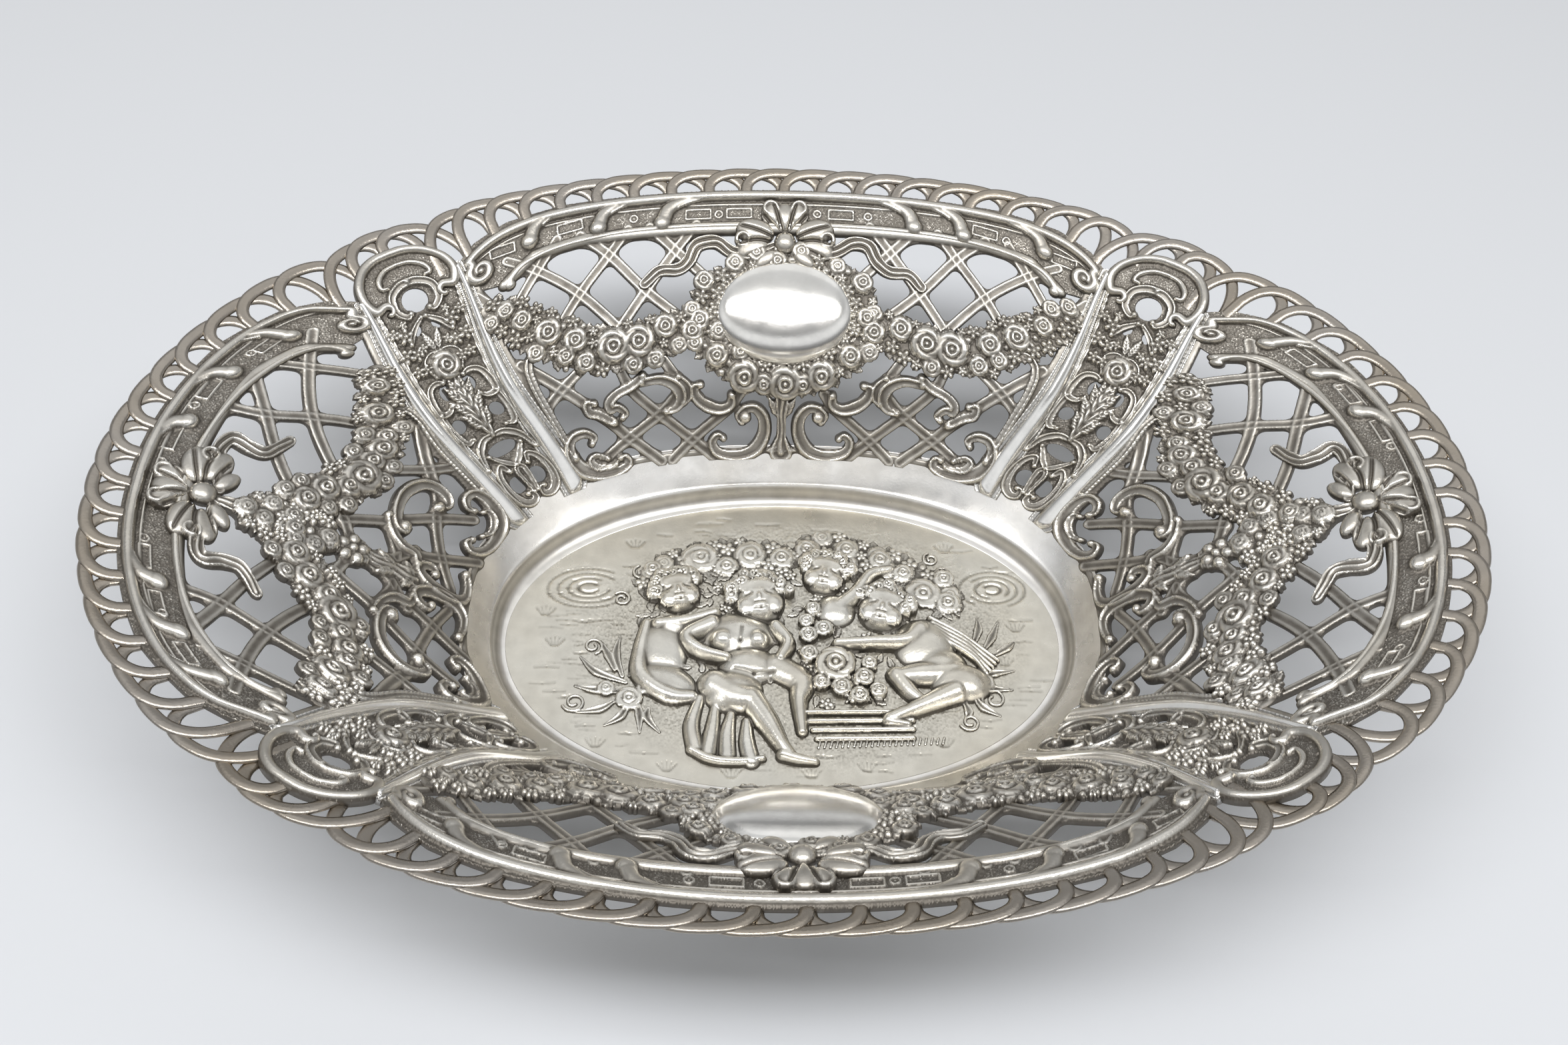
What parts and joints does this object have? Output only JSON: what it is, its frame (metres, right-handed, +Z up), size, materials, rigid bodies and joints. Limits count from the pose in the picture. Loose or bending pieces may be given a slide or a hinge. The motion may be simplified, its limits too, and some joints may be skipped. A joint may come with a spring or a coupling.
{
  "type": "pierced bowl",
  "caption": "Oval pierced silver bowl with a solid chased dish, flaring openwork lattice walls, scrolled mouldings and a looped rim gallery.",
  "frame": {"origin": "centre of the bowl's footprint, on the surface that it stands on", "axes": "+Z up out of the bowl's mouth, +X along the long axis of the oval, +Y towards the back panel of the picture"},
  "size_m": [0.3274, 0.2318, 0.0651],
  "materials": {
    "satin_silver": "satin silver with fine chased strokes",
    "chased_silver": "chased silver, dark in the recesses",
    "polished_silver": "polished silver",
    "oxidised_silver": "matte silver with a grey-brown tarnish"
  },
  "bodies": {
    "root": {"dish": "satin_silver", "panel_back": "chased_silver", "moulding_back": "chased_silver", "gallery_back": "oxidised_silver", "rib_back_left": "polished_silver", "rib_back_right": "polished_silver", "bow_back": "chased_silver", "garland_back_left": "chased_silver", "garland_back_right": "chased_silver", "dome_back": "polished_silver", "panel_front": "chased_silver", "moulding_front": "chased_silver", "gallery_front": "oxidised_silver", "rib_front_left": "polished_silver", "rib_front_right": "polished_silver", "bow_front": "chased_silver", "garland_front_left": "chased_silver", "garland_front_right": "chased_silver", "dome_front": "polished_silver", "panel_right": "chased_silver", "moulding_right": "chased_silver", "gallery_right": "oxidised_silver", "rib_right_left": "polished_silver", "rib_right_right": "polished_silver", "bow_right": "chased_silver", "garland_right_left": "chased_silver", "garland_right_right": "chased_silver", "panel_left": "chased_silver", "moulding_left": "chased_silver", "gallery_left": "oxidised_silver", "rib_left_left": "polished_silver", "rib_left_right": "polished_silver", "bow_left": "chased_silver", "garland_left_left": "chased_silver", "garland_left_right": "chased_silver", "panel_back_right": "chased_silver", "moulding_back_right": "chased_silver", "gallery_back_right": "oxidised_silver", "panel_back_left": "chased_silver", "moulding_back_left": "chased_silver", "gallery_back_left": "oxidised_silver", "panel_front_left": "chased_silver", "moulding_front_left": "chased_silver", "gallery_front_left": "oxidised_silver", "panel_front_right": "chased_silver", "moulding_front_right": "chased_silver", "gallery_front_right": "oxidised_silver"}
  },
  "joints": []
}
